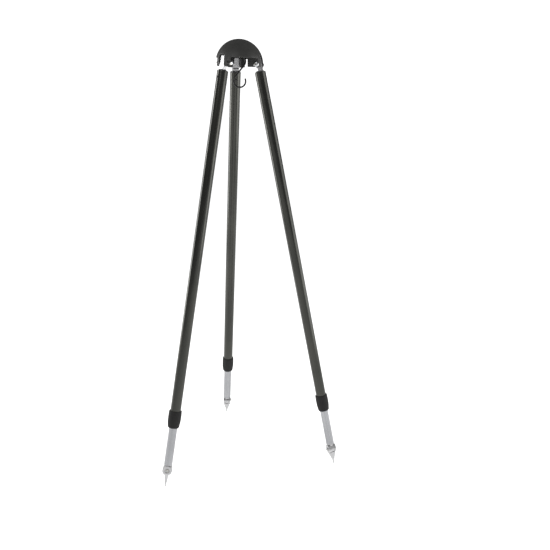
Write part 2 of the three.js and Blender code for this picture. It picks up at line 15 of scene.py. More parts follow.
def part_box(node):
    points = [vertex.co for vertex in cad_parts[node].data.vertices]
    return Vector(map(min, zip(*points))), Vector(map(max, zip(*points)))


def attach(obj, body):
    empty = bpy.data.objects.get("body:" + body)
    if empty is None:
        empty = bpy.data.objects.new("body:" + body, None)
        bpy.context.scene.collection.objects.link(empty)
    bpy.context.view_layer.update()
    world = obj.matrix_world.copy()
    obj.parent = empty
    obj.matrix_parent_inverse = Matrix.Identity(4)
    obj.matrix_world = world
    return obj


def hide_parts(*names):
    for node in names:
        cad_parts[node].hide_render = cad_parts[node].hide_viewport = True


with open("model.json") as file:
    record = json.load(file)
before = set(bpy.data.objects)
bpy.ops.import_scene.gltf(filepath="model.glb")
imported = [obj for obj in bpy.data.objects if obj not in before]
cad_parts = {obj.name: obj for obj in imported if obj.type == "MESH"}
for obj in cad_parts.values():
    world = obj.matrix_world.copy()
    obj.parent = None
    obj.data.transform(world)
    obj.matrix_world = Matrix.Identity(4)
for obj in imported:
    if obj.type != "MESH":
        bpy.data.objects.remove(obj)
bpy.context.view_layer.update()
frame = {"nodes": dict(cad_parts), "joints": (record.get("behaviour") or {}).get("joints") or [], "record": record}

MM = 0.001
LEGS = (1, 2, 3)
GAP = 0.3
ON_AXIS = 1e-6
SHARP_ANGLE = math.radians(40)

# Head: a hollow half ball with three slotted lobes. Heights are above the ball's centre.
SHELL_WALL = 4
ARCH_HEIGHT = 14
LOBE_TOP = 29
LOBE_HALF_WIDTH = 20.5
LOBE_INNER_END = 47
DEEP_CHEEK_INNER_END = 29
SLOT_HALF_WIDTH = 9.5
SLOT_ROOF = 21
BOSS_RADIUS = 12
BOSS_END = 41
CROWN_POCKET_RADIUS = 9.5
CROWN_POCKET_FLOOR = 46

# Pivot: an M8 button-head bolt with a fine washer and a nut.
BOLT_RADIUS = 4
BOLT_HEAD_HEIGHT = 4.4
BOLT_SOCKET_RADIUS = 2.9
BOLT_PITCH = 1.25
THREAD_DEPTH = 0.5

# Hanging gear.
EYE_RING_RADIUS = 9
EYE_WIRE_RADIUS = 2.5
EYE_SHANK_RADIUS = 4
EYE_COLLAR_RADIUS = 7
EYE_COLLAR_HEIGHT = 2
HOOK_WIRE_RADIUS = 2.2
HOOK_BOWL_RADIUS = 16
HOOK_TIP_ANGLE = math.radians(20)

# Leg plug. Heights along a leg are negative, measured from its pivot.
TONGUE_INNER = -6.5
TONGUE_OUTER = 6.5
TONGUE_CORNER = 4
NECK_INNER = -2.5
NECK_TOP = -6.5
CAP_RADIUS = 11.5
CAP_TOP = -16.5
CAP_CHAMFER = 1.5
SPIGOT_LEAD = 2
SPIGOT_TAPER = 1
BUSH_RADIUS = 5.1
PLUG_PIN_RADIUS = 2
PIN_HEAD_INSET = 0.2

# Tubes.
UPPER_WALL = 1
SLIP = 0.4
LOWER_WALL = 1.4
FLUTES = 6
FLUTE_DEPTH = 0.8
FLUTE_HALF_ANGLE = math.radians(8)
GUIDE_BORE = 7

# Twist lock. Insets are how far the collar's outline lies inside its widest radius.
COLLAR_RIBS = 26
COLLAR_RIB_DEPTH = 0.5
COLLAR_RIB_START = 9
COLLAR_RIB_MARGIN = 7
COLLAR_RIB_FADE = 4
COLLAR_GROOVE_BELOW_RIBS = 1.2
COLLAR_GROOVE_DEPTH = 0.45
COLLAR_GROOVE_WIDTH = 0.7
COLLAR_LIP = 2.5
COLLAR_CONE = 10
COLLAR_SHOULDER = 22
COLLAR_BAND = 4
COLLAR_FLOOR = 6
COLLAR_MOUTH_INSET = 3.3
COLLAR_LIP_INSET = 1.7
COLLAR_CONE_INSET = 0.8
COLLAR_TOP_INSET = 1.4
CHAMBER_DEPTH = 11.4
SEAT_NECK_WALL = 1.9
SEAT_FLANGE_START = 6
COLLET_TAPER = 1.6
COLLET_SLIT = 3

# Foot. The shoe's blade narrows under its round cheeks.
EYE_HALF_WIDTH = 4.7
EYE_NECK_HALF = 8.5
EYE_FLANGE_REACH = 1.4
SHOE_RADIUS = 13.4
SHOE_HALF_WIDTH = 11.6
BLADE_TOP = -9
BLADE_WAIST = -13
BLADE_WAIST_HALF = 5.5
BLADE_END_HALF = 3.7
FOOT_BOLT_RADIUS = 3
FOOT_HEAD_HEIGHT = 3.4
FOOT_PITCH = 1
SPIKE_SHANK_RADIUS = 2.4
SPIKE_RADIUS = 3.2
SPIKE_TIP_RADIUS = 1.5
SPIKE_HOLE_DEPTH = 10.5
FOOT_POCKET_RADIUS = 6.2
FOOT_POCKET_FLOOR = 6.6


# ---------------------------------------------------------------- places, from the frame

joints = {joint["name"]: joint for joint in frame["joints"]}
body_of = {
    node: body
    for body, nodes in frame["record"]["behaviour"]["bodies"].items()
    for node in nodes
}
slot_of = {part["node"]: part["material_slot"] for part in frame["record"]["subparts"]}


def place(origin, up, side):
    """The place whose Z axis runs along up and whose Y axis runs along side."""
    z = Vector(up).normalized()
    y = Vector(side).normalized()
    matrix = Matrix((y.cross(z), y, z)).transposed().to_4x4()
    matrix.translation = Vector(origin)
    return matrix


def measured(node, where):
    """A CAD node's lowest and highest point on a place's Z axis and its radius about it, in mm."""
    inverse = where.inverted()
    points = [inverse @ vertex.co / MM for vertex in frame["nodes"][node].data.vertices]
    heights = [point.z for point in points]
    return min(heights), max(heights), max(point.xy.length for point in points)


def leg_place(number):
    """Origin at the leg's pivot, Z up along the leg and X away from the tripod."""
    swing = joints[f"leg_{number}_swing"]
    down = Vector(joints[f"collar_{number}_twist"]["axis"])
    return place(swing["pos_m"], -down, swing["axis"])


def pivot_place(number):
    """Origin at the leg's pivot, Z along its bolt."""
    swing = joints[f"leg_{number}_swing"]
    return place(swing["pos_m"], swing["axis"], (0, 0, 1))


def lower_place(number):
    """The leg's place, turned about the leg as its lower tube stands."""
    tilt = joints[f"shoe_{number}_tilt"]
    down = Vector(joints[f"lower_{number}_slide"]["axis"])
    return place(joints[f"leg_{number}_swing"]["pos_m"], -down, tilt["axis"])


def ankle_place(number):
    """Origin at the shoe's bolt, Z up along the leg and Y along the bolt."""
    tilt = joints[f"shoe_{number}_tilt"]
    down = Vector(joints[f"lower_{number}_slide"]["axis"])
    return place(tilt["pos_m"], -down, tilt["axis"])


def cross_place(where):
    """The same origin, with Z along the place's Y axis."""
    return where @ Matrix.Rotation(math.radians(-90), 4, "X")


axis_point = Vector(joints["eye_swivel"]["pos_m"])
BALL_RADIUS = measured("head_dome", Matrix.Translation(axis_point))[2]
ball_centre = Vector((axis_point.x, axis_point.y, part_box("crown_cap")[1].z - BALL_RADIUS * MM))
HEAD = Matrix.Translation(ball_centre)
LOBE_BOTTOM = measured("head_dome", HEAD)[0]
PIVOT_HEIGHT = (joints["leg_1_swing"]["pos_m"][2] - ball_centre.z) / MM
PIVOT_CIRCLE = (Vector(joints["leg_1_swing"]["pos_m"]) - ball_centre).xy.length / MM
LEG_LINES = [(Vector(joints[f"leg_{n}_swing"]["pos_m"]) - ball_centre).xy for n in LEGS]
LEG_ANGLES = [math.atan2(line.y, line.x) for line in LEG_LINES]


# ---------------------------------------------------------------- outlines

def soften(corners, radius, steps=4):
    """The outline with its corners rounded. One that starts and ends on the axis keeps its two ends."""
    count = len(corners)
    ends = (0, count - 1) if corners[0][0] == 0 else ()
    outline = []
    for i, corner in enumerate(corners):
        here = Vector(corner)
        if i in ends:
            outline.append(here)
            continue
        before = Vector(corners[i - 1]) - here
        after = Vector(corners[(i + 1) % count]) - here
        cut = min(radius, 0.45 * before.length, 0.45 * after.length)
        start = here + before.normalized() * cut
        end = here + after.normalized() * cut
        for step in range(steps + 1):
            t = step / steps
            outline.append(start.lerp(here, t).lerp(here.lerp(end, t), t))
    return [(point.x, point.y) for point in outline]


def supported(outline, margin=1.5, longest=40):
    """The outline with more points on its long straight stretches, two of them close to the ends.

    An outline that doesn't start on the axis is taken as closed, from its last point to its first.
    """
    closed = outline[0][0] > 0
    points = [Vector(point) for point in outline]
    following = points[1:] + points[:1] if closed else points[1:]
    result = []
    for start, end in zip(points, following):
        result.append(start)
        length = (end - start).length
        if length > 4 * margin:
            share = margin / length
            inner = math.ceil(length / longest)
            for i in range(inner + 1):
                result.append(start.lerp(end, share + (1 - 2 * share) * i / inner))
    if not closed:
        result.append(points[-1])
    return [(point.x, point.y) for point in result]


def curved(points, steps=6):
    """A smooth line through a few points, as Catmull-Rom arcs."""
    line = [Vector(point) for point in points]
    result = []
    for i in range(len(line) - 1):
        before = line[max(i - 1, 0)]
        start = line[i]
        end = line[i + 1]
        after = line[min(i + 2, len(line) - 1)]
        for step in range(steps):
            t = step / steps
            result.append(0.5 * (
                2 * start
                + (end - before) * t
                + (2 * before - 5 * start + 4 * end - after) * t * t
                + (3 * start - before - 3 * end + after) * t * t * t
            ))
    result.append(line[-1])
    return [tuple(point) for point in result]


# ---------------------------------------------------------------- meshes

def mesh_from(points, faces):
    """A mesh in metres from points in millimetres, with its faces turned outwards."""
    mesh = bpy.data.meshes.new("mesh")
    mesh.from_pydata([Vector(point) * MM for point in points], [], faces)
    shell = bmesh.new()
    shell.from_mesh(mesh)
    bmesh.ops.recalc_face_normals(shell, faces=shell.faces)
    shell.to_mesh(mesh)
    shell.free()
    return mesh


def revolve(outline, sides=64, shape=None):
    """A mesh turned about Z from (radius, height) pairs, which end on the axis or close on themselves.

    shape(radius, height, angle) gives the radius where it isn't round.
    """
    points = []
    rings = []
    for radius, height in outline:
        first = len(points)
        if radius < ON_AXIS:
            points.append((0, 0, height))
            rings.append([first])
            continue
        for side in range(sides):
            angle = side * 2 * math.pi / sides
            reach = shape(radius, height, angle) if shape else radius
            points.append((reach * math.cos(angle), reach * math.sin(angle), height))
        rings.append(list(range(first, first + sides)))
    pairs = list(zip(rings, rings[1:]))
    if outline[0][0] > ON_AXIS:
        pairs.append((rings[-1], rings[0]))
    faces = []
    for lower, upper in pairs:
        for side in range(sides):
            after = (side + 1) % sides
            corners = [
                lower[side % len(lower)],
                lower[after % len(lower)],
                upper[after % len(upper)],
                upper[side % len(upper)],
            ]
            faces.append(list(dict.fromkeys(corners)))
    return mesh_from(points, faces)


def sweep(line, radius, sides=24, cap_steps=6):
    """A round wire along a line of points in the XZ plane, with round ends."""
    line = [Vector(point) for point in line]
    tangents = []
    for i in range(len(line)):
        tangents.append((line[min(i + 1, len(line) - 1)] - line[max(i - 1, 0)]).normalized())
    stations = []
    for end, sign in ((0, -1), (-1, 1)):
        cap = []
        for step in range(cap_steps):
            lean = step / cap_steps * math.pi / 2
            centre = line[end] + tangents[end] * (sign * radius * math.sin(lean))
            cap.append((centre, tangents[end], radius * math.cos(lean)))
        stations.append(cap)
    middle = [(point, tangent, radius) for point, tangent in zip(line[1:-1], tangents[1:-1])]
    rows = list(reversed(stations[0])) + middle + stations[1]
    points = []
    across = Vector((0, 1, 0))
    for centre, tangent, reach in rows:
        out = tangent.cross(across).normalized()
        for side in range(sides):
            angle = side * 2 * math.pi / sides
            points.append(centre + reach * (math.cos(angle) * out + math.sin(angle) * across))
    faces = []
    for row in range(len(rows) - 1):
        for side in range(sides):
            after = (side + 1) % sides
            low = row * sides
            high = low + sides
            faces.append([low + side, low + after, high + after, high + side])
    for low, tip, sign in ((0, 0, -1), (len(rows) * sides - sides, -1, 1)):
        points.append(line[tip] + tangents[tip] * (sign * radius))
        for side in range(sides):
            faces.append([low + side, low + (side + 1) % sides, len(points) - 1])
    return mesh_from(points, faces)


def block(x, y, z):
    """A box between two places on each axis."""
    points = [(i, j, k) for i in x for j in y for k in z]
    faces = [[0, 1, 3, 2], [4, 6, 7, 5], [0, 4, 5, 1], [2, 3, 7, 6], [0, 2, 6, 4], [1, 5, 7, 3]]
    return mesh_from(points, faces)


def plate(outline, half_width):
    """An outline in X and Z, made into a plate that reaches half_width to each side along Y."""
    count = len(outline)
    points = [(x, side * half_width, z) for side in (-1, 1) for x, z in outline]
    faces = [list(range(count)), list(range(2 * count - 1, count - 1, -1))]
    for i in range(count):
        after = (i + 1) % count
        faces.append([i, after, count + after, count + i])
    return mesh_from(points, faces)


def rod(radius, bottom, top, sides=64):
    return revolve([(0, bottom), (radius, bottom), (radius, top), (0, top)], sides)


def moved(mesh, matrix):
    mesh.transform(matrix)
    return mesh


def across(mesh):
    """Turned so that its Z axis lies along Y."""
    return moved(mesh, Matrix.Rotation(math.radians(-90), 4, "X"))


def shifted(mesh, x=0, z=0):
    return moved(mesh, Matrix.Translation(Vector((x, 0, z)) * MM))


def turned_by(mesh, angle):
    """Turned about Z."""
    return moved(mesh, Matrix.Rotation(angle, 4, "Z"))


def with_modifiers(mesh, *modifiers):
    """The mesh after modifiers, each given as (kind, settings)."""
    holder = bpy.data.objects.new("holder", mesh)
    bpy.context.scene.collection.objects.link(holder)
    for kind, settings in modifiers:
        modifier = holder.modifiers.new(kind, kind)
        for name, value in settings.items():
            setattr(modifier, name, value)
    evaluated = holder.evaluated_get(bpy.context.evaluated_depsgraph_get())
    result = bpy.data.meshes.new_from_object(evaluated)
    bpy.data.objects.remove(holder)
    return result


def joined(operation, mesh, *tools):
    """The mesh after a boolean with each tool in turn."""
    for tool in tools:
        holder = bpy.data.objects.new("tool", tool)
        bpy.context.scene.collection.objects.link(holder)
        settings = {"operation": operation, "solver": "EXACT", "object": holder}
        mesh = with_modifiers(mesh, ("BOOLEAN", settings))
        bpy.data.objects.remove(holder)
    return mesh


def cast(mesh, voxel, rounds=6):
    """The even, soft-edged skin of a casting or moulding."""
    return with_modifiers(
        mesh,
        ("REMESH", {"mode": "VOXEL", "voxel_size": voxel * MM}),
        ("SMOOTH", {"factor": 0.5, "iterations": rounds}),
    )


def mark_curvature(mesh):
    """Writes how sharply the skin curves, per millimetre: edges are above 0 and grooves below."""
    count = len(mesh.vertices)
    points = numpy.empty(count * 3)
    normals = numpy.empty(count * 3)
    ends = numpy.empty(len(mesh.edges) * 2, int)
    mesh.vertices.foreach_get("co", points)
    mesh.vertices.foreach_get("normal", normals)
    mesh.edges.foreach_get("vertices", ends)
    points = points.reshape(-1, 3)
    normals = normals.reshape(-1, 3)
    total = numpy.zeros(count)
    degree = numpy.zeros(count)
    for one, other in (ends.reshape(-1, 2).T, ends.reshape(-1, 2).T[::-1]):
        step = points[other] - points[one]
        bend = -2 * (step * normals[one]).sum(1) / numpy.maximum((step * step).sum(1), 1e-12)
        numpy.add.at(total, one, bend * MM)
        numpy.add.at(degree, one, 1)
    curvature = total / numpy.maximum(degree, 1)
    attribute = mesh.attributes.new("curvature", "FLOAT", "POINT")
    attribute.data.foreach_set("value", curvature.astype(numpy.float32))


def finished(node, mesh, where):
    """A fine piece that stands for one CAD node, rides on its body and has its finish."""
    mesh = mesh.copy()
    mark_curvature(mesh)
    mesh.materials.clear()
    mesh.materials.append(looks[slot_of[node]])
    mesh.shade_smooth()
    mesh.set_sharp_from_angle(angle=SHARP_ANGLE)
    piece = bpy.data.objects.new(f"{node}_fine", mesh)
    bpy.context.scene.collection.objects.link(piece)
    piece.matrix_world = where
    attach(piece, body_of[node])
    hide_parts(node)


# ---------------------------------------------------------------- looks

def grow(tree, kind, inputs=None, **settings):
    """A shader node with its settings, and its inputs set or linked."""
    node = tree.nodes.new(f"ShaderNode{kind}")
    for name, value in settings.items():
        setattr(node, name, value)
    for name, value in (inputs or {}).items():
        if isinstance(value, bpy.types.NodeSocket):
            tree.links.new(value, node.inputs[name])
        else:
            node.inputs[name].default_value = value
    return node


def noise(tree, size, detail=3.0, stretch=(1, 1, 1)):
    """Noise from 0 to 1, whose patches are about size millimetres."""
    position = grow(tree, "TexCoord").outputs["Object"]
    mapping = grow(tree, "Mapping", {"Vector": position, "Scale": stretch})
    settings = {"Vector": mapping.outputs["Vector"], "Scale": 1 / (size * MM), "Detail": detail}
    return grow(tree, "TexNoise", settings).outputs["Fac"]


def ranged(tree, value, low, high, to_low=0.0, to_high=1.0):
    """The value's range from low to high, spread over another range and held there."""
    inputs = {
        "Value": value,
        "From Min": low,
        "From Max": high,
        "To Min": to_low,
        "To Max": to_high,
    }
    return grow(tree, "MapRange", inputs).outputs["Result"]


def computed(tree, operation, one, other):
    """The two values put together by a Math node."""
    node = grow(tree, "Math", operation=operation)
    for socket, value in zip(node.inputs, (one, other)):
        if isinstance(value, bpy.types.NodeSocket):
            tree.links.new(value, socket)
        else:
            socket.default_value = value
    return node.outputs[0]


def product(tree, one, other):
    return computed(tree, "MULTIPLY", one, other)


def mixed(tree, factor, first, second):
    """A colour between two others."""
    node = grow(tree, "Mix", data_type="RGBA")
    sockets = {"Factor_Float": factor, "A_Color": first, "B_Color": second}
    for identifier, value in sockets.items():
        socket = next(s for s in node.inputs if s.identifier == identifier)
        if isinstance(value, bpy.types.NodeSocket):
            tree.links.new(value, socket)
        else:
            socket.default_value = (*value, 1) if isinstance(value, tuple) else value
    return next(s for s in node.outputs if s.identifier == "Result_Color")


def curvature(tree, low, high):
    """0 where the skin's curvature is low, 1 where it is high, per millimetre."""
    value = grow(tree, "Attribute", attribute_name="curvature").outputs["Fac"]
    return ranged(tree, value, low, high)


def start_look(slot, metallic):
    """A new material for a slot, with its tree and its shader."""
    material = bpy.data.materials.new(slot)
    material.use_nodes = True
    tree = material.node_tree
    shader = tree.nodes["Principled BSDF"]
    shader.inputs["Metallic"].default_value = metallic
    return material, tree, shader


def end_look(tree, shader, color, roughness, *bumps):
    """Links a look's colour and roughness, and its bumps as (height, depth in millimetres)."""
    tree.links.new(color, shader.inputs["Base Color"])
    tree.links.new(roughness, shader.inputs["Roughness"])
    normal = None
    for height, depth in bumps:
        node = grow(tree, "Bump", {"Height": height, "Distance": depth * MM, "Strength": 1.0})
        if normal:
            tree.links.new(normal, node.inputs["Normal"])
        normal = node.outputs["Normal"]
    tree.links.new(normal, shader.inputs["Normal"])


def black_moulding():
    """Satin black moulding: a fine spark-eroded grain, its edges lightened grey, partly rubbed wear and partly a
    painted highlight.
    """
    material, tree, shader = start_look("black_moulding", 0.0)
    base = mixed(tree, noise(tree, 14), (0.0145, 0.0145, 0.0138), (0.0225, 0.0222, 0.021))
    # Lighter grey edges: partly rubbed wear, partly a painted highlight on the moulding's edges.
    edge_mask = product(tree, curvature(tree, 0.3, 1.1), ranged(tree, noise(tree, 2.5), 0.35, 0.7))
    color = mixed(tree, edge_mask, base, (0.10, 0.098, 0.09))
    roughness = ranged(tree, noise(tree, 5), 0.3, 0.7, 0.40, 0.52)
    grain = noise(tree, 0.7, 2.0)
    end_look(tree, shader, color, roughness, (grain, 0.05), (noise(tree, 9), 0.08))
    shader.inputs["Specular IOR Level"].default_value = 0.3
    return material


def black_rubber():
    """Matt black rubber with pale dust in its grooves."""
    material, tree, shader = start_look("black_rubber", 0.0)
    base = mixed(tree, noise(tree, 6), (0.0075, 0.0075, 0.0075), (0.0135, 0.0133, 0.013))
    dust = product(tree, curvature(tree, -0.1, -0.8), ranged(tree, noise(tree, 3), 0.4, 0.8, 0, 0.5))
    color = mixed(tree, dust, base, (0.07, 0.068, 0.062))
    roughness = ranged(tree, noise(tree, 2), 0.3, 0.7, 0.55, 0.72)
    end_look(tree, shader, color, roughness, (noise(tree, 0.4, 2.0), 0.04))
    shader.inputs["Specular IOR Level"].default_value = 0.15
    return material


def drawn_tube(slot, metallic, dark, light, wear_and_highlight, low_roughness, high_roughness):
    """A drawn and anodised tube: fine lines along it, faint blotches, and edges lightened, partly rubbed wear and
    partly a painted highlight.
    """
    material, tree, shader = start_look(slot, metallic)
    lines = noise(tree, 1.1, 2.0, (1, 1, 0.006))
    blotches = noise(tree, 45, 3.0, (1, 1, 0.4))
    both = computed(tree, "ADD", lines, blotches)
    base = mixed(tree, ranged(tree, both, 0.75, 1.3), dark, light)
    # Lighter edges: partly rubbed wear, partly a painted highlight on the tube's rims.
    edge_mask = product(tree, curvature(tree, 0.5, 1.4), ranged(tree, noise(tree, 1.5), 0.4, 0.65))
    color = mixed(tree, edge_mask, base, wear_and_highlight)
    roughness = ranged(tree, both, 0.7, 1.3, low_roughness, high_roughness)
    end_look(tree, shader, color, roughness, (lines, 0.012))
    return material


def dark_anodised():
    """Grey-black anodising, a little green."""
    dark = (0.034, 0.035, 0.032)
    light = (0.052, 0.052, 0.046)
    # Edge colour: partly rubbed wear, partly a painted highlight.
    wear_and_highlight = (0.35, 0.35, 0.34)
    return drawn_tube("dark_anodised", 0.85, dark, light, wear_and_highlight, 0.16, 0.24)


def clear_anodised():
    """Plain anodised aluminium."""
    dark = (0.24, 0.243, 0.252)
    light = (0.33, 0.333, 0.342)
    # Edge colour: partly rubbed wear, partly a painted highlight.
    wear_and_highlight = (0.75, 0.75, 0.76)
    return drawn_tube("clear_anodised", 1.0, dark, light, wear_and_highlight, 0.2, 0.32)


def cast_alloy():
    """Tumbled die casting: a soft orange-peel skin, painted shade in its hollows and bright on its edges."""
    material, tree, shader = start_look("cast_alloy", 1.0)
    base = mixed(tree, noise(tree, 4), (0.34, 0.34, 0.345), (0.46, 0.46, 0.465))
    # Painted shade: the casting is darkened in its hollows, where shade falls.
    hollow = curvature(tree, -0.15, -0.9)
    base = mixed(tree, hollow, base, (0.22, 0.22, 0.215))
    bright = product(tree, curvature(tree, 0.3, 1.0), ranged(tree, noise(tree, 1.2), 0.35, 0.7))
    color = mixed(tree, bright, base, (0.7, 0.7, 0.7))
    roughness = ranged(tree, noise(tree, 3), 0.3, 0.7, 0.32, 0.5)
    end_look(tree, shader, color, roughness, (noise(tree, 1.0, 3.0), 0.05), (noise(tree, 4), 0.06))
    return material


def zinc_steel():
    """Bright zinc plate with a faint bluish and straw bloom."""
    material, tree, shader = start_look("zinc_steel", 1.0)
    bloom = noise(tree, 5, 2.0)
    base = mixed(tree, ranged(tree, bloom, 0.35, 0.65), (0.44, 0.46, 0.50), (0.52, 0.505, 0.45))
    edge_mask = product(tree, curvature(tree, 0.5, 1.5), ranged(tree, noise(tree, 0.8), 0.4, 0.7))
    color = mixed(tree, edge_mask, base, (0.46, 0.45, 0.43))
    roughness = ranged(tree, noise(tree, 1.5), 0.3, 0.7, 0.2, 0.34)
    end_look(tree, shader, color, roughness, (noise(tree, 0.6), 0.015))
    return material


def black_steel():
    """Black-plated wire, rubbed to bare steel here and there."""
    material, tree, shader = start_look("black_steel", 0.5)
    base = mixed(tree, noise(tree, 3), (0.010, 0.010, 0.010), (0.022, 0.022, 0.022))
    bare = ranged(tree, noise(tree, 2.2, 4.0), 0.68, 0.78)
    color = mixed(tree, bare, base, (0.16, 0.155, 0.15))
    roughness = ranged(tree, noise(tree, 1.5), 0.3, 0.7, 0.3, 0.46)
    end_look(tree, shader, color, roughness, (noise(tree, 0.8), 0.03))
    return material


def spike_steel():
    """Hardened steel, ground round its axis."""
    material, tree, shader = start_look("spike_steel", 1.0)
    grinding = noise(tree, 0.35, 2.0, (0.05, 0.05, 1))
    base = mixed(tree, noise(tree, 4), (0.30, 0.30, 0.305), (0.42, 0.42, 0.425))
    color = mixed(tree, ranged(tree, grinding, 0.3, 0.8, 0, 0.6), base, (0.58, 0.58, 0.58))
    roughness = ranged(tree, grinding, 0.3, 0.7, 0.26, 0.42)
    end_look(tree, shader, color, roughness, (grinding, 0.02))
    return material


def nylon():
    """Natural nylon, a little waxy."""
    material, tree, shader = start_look("nylon", 0.0)
    color = mixed(tree, noise(tree, 6), (0.62, 0.59, 0.51), (0.72, 0.69, 0.61))
    roughness = ranged(tree, noise(tree, 2), 0.3, 0.7, 0.42, 0.58)
    end_look(tree, shader, color, roughness, (noise(tree, 0.8), 0.02))
    return material


looks = {
    make.__name__: make()
    for make in (
        black_moulding,
        black_rubber,
        dark_anodised,
        clear_anodised,
        cast_alloy,
        zinc_steel,
        black_steel,
        spike_steel,
        nylon,
    )
}


# ---------------------------------------------------------------- head

def ball(radius, bottom, steps=40):
    """A half ball that goes on down as a short cylinder."""
    outline = [(0, bottom), (radius, bottom)]
    for i in range(steps):
        angle = i / steps * math.pi / 2
        outline.append((radius * math.cos(angle), radius * math.sin(angle)))
    outline.append((0, radius))
    return revolve(outline, 144)


def head_dome():
    """A hollow half ball with three slotted lobes, arches between them and a boss for the swivel."""
    # The cutters reach past the head by different amounts, so that no two of their faces coincide.
    below = LOBE_BOTTOM - 1
    reach = BALL_RADIUS + 5
    lobes = []
    cuts = []
    for angle in LEG_ANGLES:
        sides = (-LOBE_HALF_WIDTH, LOBE_HALF_WIDTH)
        lobe = block((LOBE_INNER_END, reach + 1), sides, (below - 1, LOBE_TOP))
        deep_sides = (-LOBE_HALF_WIDTH, 1 - SLOT_HALF_WIDTH)
        cheek = block((DEEP_CHEEK_INNER_END, reach + 2), deep_sides, (below - 2, LOBE_TOP))
        lobes += [turned_by(lobe, angle), turned_by(cheek, angle)]
        slot_sides = (-SLOT_HALF_WIDTH, SLOT_HALF_WIDTH)
        slot = block((DEEP_CHEEK_INNER_END - 2, reach + 1), slot_sides, (below, SLOT_ROOF))
        hole = shifted(across(rod(BOLT_RADIUS + GAP, -reach, reach)), x=PIVOT_CIRCLE, z=PIVOT_HEIGHT)
        cuts += [turned_by(slot, angle), turned_by(hole, angle)]
    skirt = rod(reach, below, ARCH_HEIGHT, 144)
    hollow = joined("UNION", ball(BALL_RADIUS - SHELL_WALL, below), skirt)
    hollow = joined("DIFFERENCE", hollow, *lobes)
    shell = joined("DIFFERENCE", ball(BALL_RADIUS, LOBE_BOTTOM), hollow)
    shell = joined("UNION", shell, rod(BOSS_RADIUS, BOSS_END, BALL_RADIUS - SHELL_WALL + 1))
    pocket = rod(CROWN_POCKET_RADIUS, CROWN_POCKET_FLOOR, reach)
    shank_hole = rod(EYE_SHANK_RADIUS + GAP, 0, reach)
    return cast(joined("DIFFERENCE", shell, pocket, shank_hole, *cuts), voxel=0.7)


def crown_cap():
    """A disc in the crown's pocket, whose face carries on the ball."""
    bottom, top, radius = measured("crown_cap", HEAD)
    outline = [(0, bottom), (radius, bottom)]
    steps = 8
    for i in range(steps):
        reach = radius * (1 - i / steps)
        outline.append((reach, math.sqrt(top ** 2 - reach ** 2)))
    outline.append((0, top))
    return revolve(soften(outline, 0.5))


def hexagon(radius, bottom, top, chamfer_radius):
    """A shape for revolve: six flats with the ends' corners turned off to chamfer_radius."""
    chamfer_slope = 1.7
    corner_radius = 0.985 * radius

    def shape(reach, height, angle):
        if reach < 0.8 * radius:
            return reach
        sixth = math.pi / 3
        turn = (angle % sixth) - sixth / 2
        flat = radius * math.cos(math.pi / 6) / math.cos(turn)
        depth = min(height - bottom, top - height)
        return min(flat, chamfer_radius + chamfer_slope * depth, corner_radius)

    return shape


def hexagon_nut(radius, bore, bottom, top):
    """A chamfered hexagonal nut about Z."""
    bore_chamfer = 0.8
    steps = 24
    levels = [bottom + (top - bottom) * i / steps for i in range(steps + 1)]
    outer = [(radius, level) for level in levels]
    inner = [
        (bore + bore_chamfer, top),
        (bore, top - bore_chamfer),
        (bore, bottom + bore_chamfer),
        (bore + bore_chamfer, bottom),
    ]
    return revolve(outer + inner, 96, hexagon(radius, bottom, top, 0.9 * radius))


def threaded(radius, start, pitch, depth):
    """A shape for revolve: a screw thread cut into the shank from start upwards."""

    def shape(reach, height, angle):
        if height < start or reach < radius - 0.01:
            return reach
        turn = ((height - start) / pitch - angle / (2 * math.pi)) % 1
        cut = depth * (1 - abs(2 * turn - 1)) * min(1, (height - start) / pitch)
        return reach - cut

    return shape


def button_bolt(radius, head_radius, head_height, under, end, socket_radius, thread_start, pitch):
    """A button-head bolt about Z: its head is below under, and its threaded end points up."""
    bottom = under - head_height
    dome = [
        (0.5 * head_radius, bottom),
        (0.8 * head_radius, bottom + 0.22 * head_height),
        (0.96 * head_radius, bottom + 0.6 * head_height),
        (head_radius, under),
    ]
    levels = int((end - thread_start) / (pitch / 8))
    chamfer = 0.8
    length = end - chamfer - thread_start
    thread = [(radius, thread_start + length * i / levels) for i in range(levels + 1)]
    outline = [(0, bottom), *curved(dome), (radius, under), *thread, (radius - chamfer, end), (0, end)]
    shank = revolve(outline, 48, threaded(radius, thread_start, pitch, THREAD_DEPTH * pitch))
    socket = rod(socket_radius, bottom - 1, bottom + 0.7 * head_height, 6)
    return joined("DIFFERENCE", shank, socket)


def washer(radius, bore, bottom, top):
    return revolve(soften([(bore, bottom), (radius, bottom), (radius, top), (bore, top)], 0.3))


def swivel_eye():
    """A ring under a shank, whose collar bears on the boss."""
    low, end, _ = measured("swivel_eye", HEAD)
    centre = low + EYE_WIRE_RADIUS + EYE_RING_RADIUS
    steps = 24
    wire = [
        (
            EYE_RING_RADIUS + EYE_WIRE_RADIUS * math.cos(i * 2 * math.pi / steps),
            EYE_WIRE_RADIUS * math.sin(i * 2 * math.pi / steps),
        )
        for i in range(steps)
    ]
    ring = shifted(across(revolve(wire, 72)), z=centre)
    collar_top = BOSS_END - GAP
    shank = revolve([
        (0, centre + EYE_RING_RADIUS),
        (EYE_SHANK_RADIUS, centre + EYE_RING_RADIUS),
        (EYE_COLLAR_RADIUS, collar_top - EYE_COLLAR_HEIGHT),
        (EYE_COLLAR_RADIUS, collar_top),
        (EYE_SHANK_RADIUS, collar_top),
        (EYE_SHANK_RADIUS, end),
        (0, end),
    ])
    return cast(joined("UNION", ring, shank), voxel=0.35, rounds=4)


